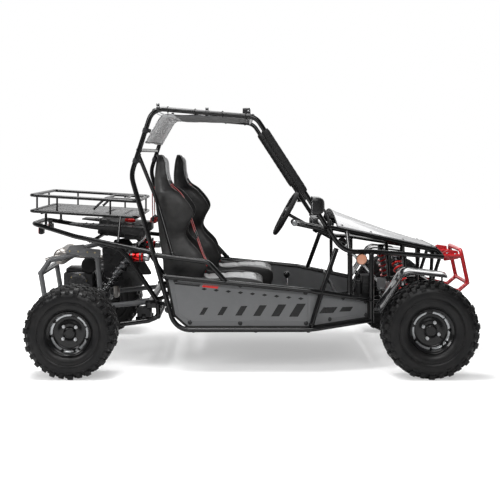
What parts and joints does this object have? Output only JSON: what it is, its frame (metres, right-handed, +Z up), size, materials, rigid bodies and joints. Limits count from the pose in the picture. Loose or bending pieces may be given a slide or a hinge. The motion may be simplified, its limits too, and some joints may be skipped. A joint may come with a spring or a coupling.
{
  "type": "off-road go-kart",
  "caption": "Side-by-side off-road kart: tube frame with roof, bucket seats, double wishbones and rack steering in front, swing arm with engine and live axle behind.",
  "frame": {"origin": "on the ground at the middle of the length and width", "axes": "+X forward, +Y to the kart's left, +Z up"},
  "size_m": [2.4182, 1.48, 1.381],
  "materials": {
    "frame_paint": "gloss black powder coat",
    "red_paint": "red paint",
    "grey_paint": "satin grey paint",
    "white_gloss": "silver white, glossy",
    "black_plastic": "black moulded plastic",
    "panel_grey": "mid grey sheet",
    "cloth": "light grey coated cloth",
    "leather": "black upholstery",
    "tyre": "black rubber",
    "steel": "bare steel",
    "cast_metal": "dark cast metal",
    "lamp": "lamp housing"
  },
  "bodies": {
    "chassis": {"frame_side_right": "frame_paint", "frame_side_left": "frame_paint", "front_frame": "frame_paint", "rear_frame": "frame_paint", "cargo_rack": "frame_paint", "front_bumper": "red_paint", "hood": "white_gloss", "side_panel_right": "panel_grey", "side_panel_left": "panel_grey", "floor_pan": "black_plastic", "canopy": "cloth", "dash_panel": "black_plastic", "roof_light": "lamp", "fuel_tank": "black_plastic", "seat_right": "leather"},
    "driver_seat": {"seat_left": "leather"},
    "steering_wheel": {"steering_wheel": "black_plastic"},
    "steering_shaft": {"steering_shaft": "steel"},
    "steering_rack": {"steering_rack": "steel"},
    "swing_arm": {"swing_arm": "grey_paint", "engine": "cast_metal", "muffler": "steel"},
    "rear_axle": {"rear_axle": "steel", "rear_tyre_right": "tyre", "rear_tyre_left": "tyre", "rear_rim_right": "black_plastic", "rear_rim_left": "black_plastic"},
    "throttle_pedal": {"throttle_pedal": "steel"},
    "brake_pedal": {"brake_pedal": "steel"},
    "gear_lever": {"gear_lever": "black_plastic"},
    "tie_rod_left": {"tie_rod_left": "steel"},
    "lower_arm_left": {"lower_arm_left": "frame_paint"},
    "upper_arm_left": {"upper_arm_left": "frame_paint"},
    "upright_left": {"upright_left": "cast_metal"},
    "knuckle_left": {"knuckle_left": "cast_metal", "fender_left": "white_gloss"},
    "front_wheel_left": {"front_tyre_left": "tyre", "front_rim_left": "black_plastic"},
    "front_shock_left": {"front_shock_body_left": "steel", "front_shock_spring_left": "red_paint"},
    "front_shock_rod_left": {"front_shock_rod_left": "steel"},
    "rear_shock_left": {"rear_shock_body_left": "steel", "rear_shock_spring_left": "red_paint"},
    "rear_shock_rod_left": {"rear_shock_rod_left": "steel"},
    "mirror_left": {"mirror_left": "black_plastic"},
    "tie_rod_right": {"tie_rod_right": "steel"},
    "lower_arm_right": {"lower_arm_right": "frame_paint"},
    "upper_arm_right": {"upper_arm_right": "frame_paint"},
    "upright_right": {"upright_right": "cast_metal"},
    "knuckle_right": {"knuckle_right": "cast_metal", "fender_right": "white_gloss"},
    "front_wheel_right": {"front_tyre_right": "tyre", "front_rim_right": "black_plastic"},
    "front_shock_right": {"front_shock_body_right": "steel", "front_shock_spring_right": "red_paint"},
    "front_shock_rod_right": {"front_shock_rod_right": "steel"},
    "rear_shock_right": {"rear_shock_body_right": "steel", "rear_shock_spring_right": "red_paint"},
    "rear_shock_rod_right": {"rear_shock_rod_right": "steel"},
    "mirror_right": {"mirror_right": "black_plastic"}
  },
  "joints": [
    {"name": "driver_seat_slide", "type": "slide", "parent": "chassis", "child": "driver_seat", "axis": [1, 0, 0], "range_m": [-0.065, 0.06]},
    {"name": "steering", "type": "hinge", "parent": "chassis", "child": "steering_wheel", "pos_m": [0.213, 0.26, 0.769], "axis": [-0.8746, 0, 0.4848], "range_deg": [-110, 110]},
    {"name": "steering_shaft_turn", "type": "hinge", "parent": "chassis", "child": "steering_shaft", "pos_m": [0.77, 0.096, 0.3493], "axis": [-0.59, 0.4782, 0.6506], "range_deg": [-112, 112]},
    {"name": "rack_slide", "type": "slide", "parent": "chassis", "child": "steering_rack", "axis": [0, 1, 0], "range_m": [-0.046, 0.046]},
    {"name": "front_suspension_left", "type": "hinge", "parent": "chassis", "child": "lower_arm_left", "pos_m": [0, 0.191, 0.262], "axis": [1, 0, 0], "range_deg": [0, 9], "stiffness_Nm_per_rad": 420, "springref_deg": -57.3},
    {"name": "upper_arm_swing_left", "type": "hinge", "parent": "chassis", "child": "upper_arm_left", "pos_m": [0, 0.2123, 0.392], "axis": [1, 0, 0], "range_deg": [-0.2, 10.2]},
    {"name": "upright_swing_left", "type": "hinge", "parent": "lower_arm_left", "child": "upright_left", "pos_m": [0.89, 0.545, 0.175], "axis": [1, 0, 0], "range_deg": [-9.4, 0.2]},
    {"name": "kingpin_left", "type": "hinge", "parent": "upright_left", "child": "knuckle_left", "pos_m": [0.89, 0.592, 0.2413], "axis": [0, 0, 1], "range_deg": [-28.5, 28.5]},
    {"name": "front_wheel_spin_left", "type": "hinge", "parent": "knuckle_left", "child": "front_wheel_left", "pos_m": [0.89, 0.651, 0.2413], "axis": [0, 1, 0], "continuous": true},
    {"name": "tie_rod_swing_left", "type": "hinge", "parent": "steering_rack", "child": "tie_rod_left", "pos_m": [0.77, 0.2157, 0.3], "axis": [1, 0, 0], "range_deg": [-0.2, 10.6]},
    {"name": "front_shock_swing_left", "type": "hinge", "parent": "chassis", "child": "front_shock_left", "pos_m": [0.777, 0.271, 0.565], "axis": [0.9269, -0.3747, 0.0185], "range_deg": [-0.1, 3.67]},
    {"name": "front_shock_travel_left", "type": "slide", "parent": "front_shock_left", "child": "front_shock_rod_left", "axis": [0.196, 0.4417, -0.8755], "range_m": [-0.034, 0.001], "deforming": ["front_shock_spring_left"]},
    {"name": "mirror_turn_left", "type": "hinge", "parent": "chassis", "child": "mirror_left", "pos_m": [0.396, 0.558, 0.7623], "axis": [0, 0, 1], "range_deg": [-25, 10]},
    {"name": "front_suspension_right", "type": "hinge", "parent": "chassis", "child": "lower_arm_right", "pos_m": [0, -0.191, 0.262], "axis": [-1, 0, 0], "range_deg": [0, 9], "stiffness_Nm_per_rad": 420, "springref_deg": -57.3},
    {"name": "upper_arm_swing_right", "type": "hinge", "parent": "chassis", "child": "upper_arm_right", "pos_m": [0, -0.2123, 0.392], "axis": [-1, 0, 0], "range_deg": [-0.2, 10.2]},
    {"name": "upright_swing_right", "type": "hinge", "parent": "lower_arm_right", "child": "upright_right", "pos_m": [0.89, -0.545, 0.175], "axis": [-1, 0, 0], "range_deg": [-9.4, 0.2]},
    {"name": "kingpin_right", "type": "hinge", "parent": "upright_right", "child": "knuckle_right", "pos_m": [0.89, -0.592, 0.2413], "axis": [0, 0, 1], "range_deg": [-28.5, 28.5]},
    {"name": "front_wheel_spin_right", "type": "hinge", "parent": "knuckle_right", "child": "front_wheel_right", "pos_m": [0.89, -0.651, 0.2413], "axis": [0, 1, 0], "continuous": true},
    {"name": "tie_rod_swing_right", "type": "hinge", "parent": "steering_rack", "child": "tie_rod_right", "pos_m": [0.77, -0.2157, 0.3], "axis": [-1, 0, 0], "range_deg": [-0.2, 10.6]},
    {"name": "front_shock_swing_right", "type": "hinge", "parent": "chassis", "child": "front_shock_right", "pos_m": [0.777, -0.271, 0.565], "axis": [-0.9269, -0.3747, -0.0185], "range_deg": [-0.1, 3.67]},
    {"name": "front_shock_travel_right", "type": "slide", "parent": "front_shock_right", "child": "front_shock_rod_right", "axis": [0.196, -0.4417, -0.8755], "range_m": [-0.034, 0.001], "deforming": ["front_shock_spring_right"]},
    {"name": "mirror_turn_right", "type": "hinge", "parent": "chassis", "child": "mirror_right", "pos_m": [0.396, -0.558, 0.7623], "axis": [0, 0, -1], "range_deg": [-25, 10]},
    {"name": "rear_suspension", "type": "hinge", "parent": "chassis", "child": "swing_arm", "pos_m": [-0.54, 0, 0.326], "axis": [0, 1, 0], "range_deg": [0, 8], "stiffness_Nm_per_rad": 1000, "springref_deg": -57.3},
    {"name": "rear_axle_spin", "type": "hinge", "parent": "swing_arm", "child": "rear_axle", "pos_m": [-0.91, 0, 0.2286], "axis": [0, 1, 0], "continuous": true},
    {"name": "rear_shock_swing_left", "type": "hinge", "parent": "chassis", "child": "rear_shock_left", "pos_m": [-0.62, 0.33, 0.60725], "axis": [-0.139, 0.9903, 0.0079], "range_deg": [-0.1, 4.66]},
    {"name": "rear_shock_travel_left", "type": "slide", "parent": "rear_shock_left", "child": "rear_shock_rod_left", "axis": [-0.6256, -0.0816, -0.7759], "range_m": [-0.0351, 0.001], "deforming": ["rear_shock_spring_left"]},
    {"name": "rear_shock_swing_right", "type": "hinge", "parent": "chassis", "child": "rear_shock_right", "pos_m": [-0.62, -0.33, 0.60725], "axis": [0.139, 0.9903, -0.0079], "range_deg": [-0.1, 4.66]},
    {"name": "rear_shock_travel_right", "type": "slide", "parent": "rear_shock_right", "child": "rear_shock_rod_right", "axis": [-0.6256, 0.0816, -0.7759], "range_m": [-0.0351, 0.001], "deforming": ["rear_shock_spring_right"]},
    {"name": "throttle", "type": "hinge", "parent": "chassis", "child": "throttle_pedal", "pos_m": [0.52, 0.19, 0.262], "axis": [0, 1, 0], "range_deg": [0, 20], "stiffness_Nm_per_rad": 8, "springref_deg": -28.65},
    {"name": "brake", "type": "hinge", "parent": "chassis", "child": "brake_pedal", "pos_m": [0.52, 0.33, 0.262], "axis": [0, 1, 0], "range_deg": [0, 20], "stiffness_Nm_per_rad": 12, "springref_deg": -28.65},
    {"name": "gear_shift", "type": "hinge", "parent": "chassis", "child": "gear_lever", "pos_m": [0.205, 0, 0.2693], "axis": [0, 1, 0], "range_deg": [-12, 12]}
  ],
  "couplings": [
    {"joint": "steering_shaft_turn", "follows": "steering", "ratio": 1},
    {"joint": "rack_slide", "follows": "steering", "m_per_rad": -0.022918},
    {"joint": "upper_arm_swing_left", "follows": "front_suspension_left", "ratio": 1.0633},
    {"joint": "upright_swing_left", "follows": "front_suspension_left", "ratio": -1},
    {"joint": "kingpin_left", "follows": "steering", "ratio": 0.25455},
    {"joint": "tie_rod_swing_left", "follows": "front_suspension_left", "ratio": 1.112},
    {"joint": "front_shock_swing_left", "follows": "front_suspension_left", "ratio": 0.37493},
    {"joint": "front_shock_travel_left", "follows": "front_suspension_left", "m_per_rad": -0.20999},
    {"joint": "upper_arm_swing_right", "follows": "front_suspension_right", "ratio": 1.0633},
    {"joint": "upright_swing_right", "follows": "front_suspension_right", "ratio": -1},
    {"joint": "kingpin_right", "follows": "steering", "ratio": 0.25455},
    {"joint": "tie_rod_swing_right", "follows": "front_suspension_right", "ratio": 1.112},
    {"joint": "front_shock_swing_right", "follows": "front_suspension_right", "ratio": 0.37493},
    {"joint": "front_shock_travel_right", "follows": "front_suspension_right", "m_per_rad": -0.20999},
    {"joint": "rear_shock_swing_left", "follows": "rear_suspension", "ratio": 0.54486},
    {"joint": "rear_shock_travel_left", "follows": "rear_suspension", "m_per_rad": -0.24407},
    {"joint": "rear_shock_swing_right", "follows": "rear_suspension", "ratio": 0.54486},
    {"joint": "rear_shock_travel_right", "follows": "rear_suspension", "m_per_rad": -0.24407}
  ]
}
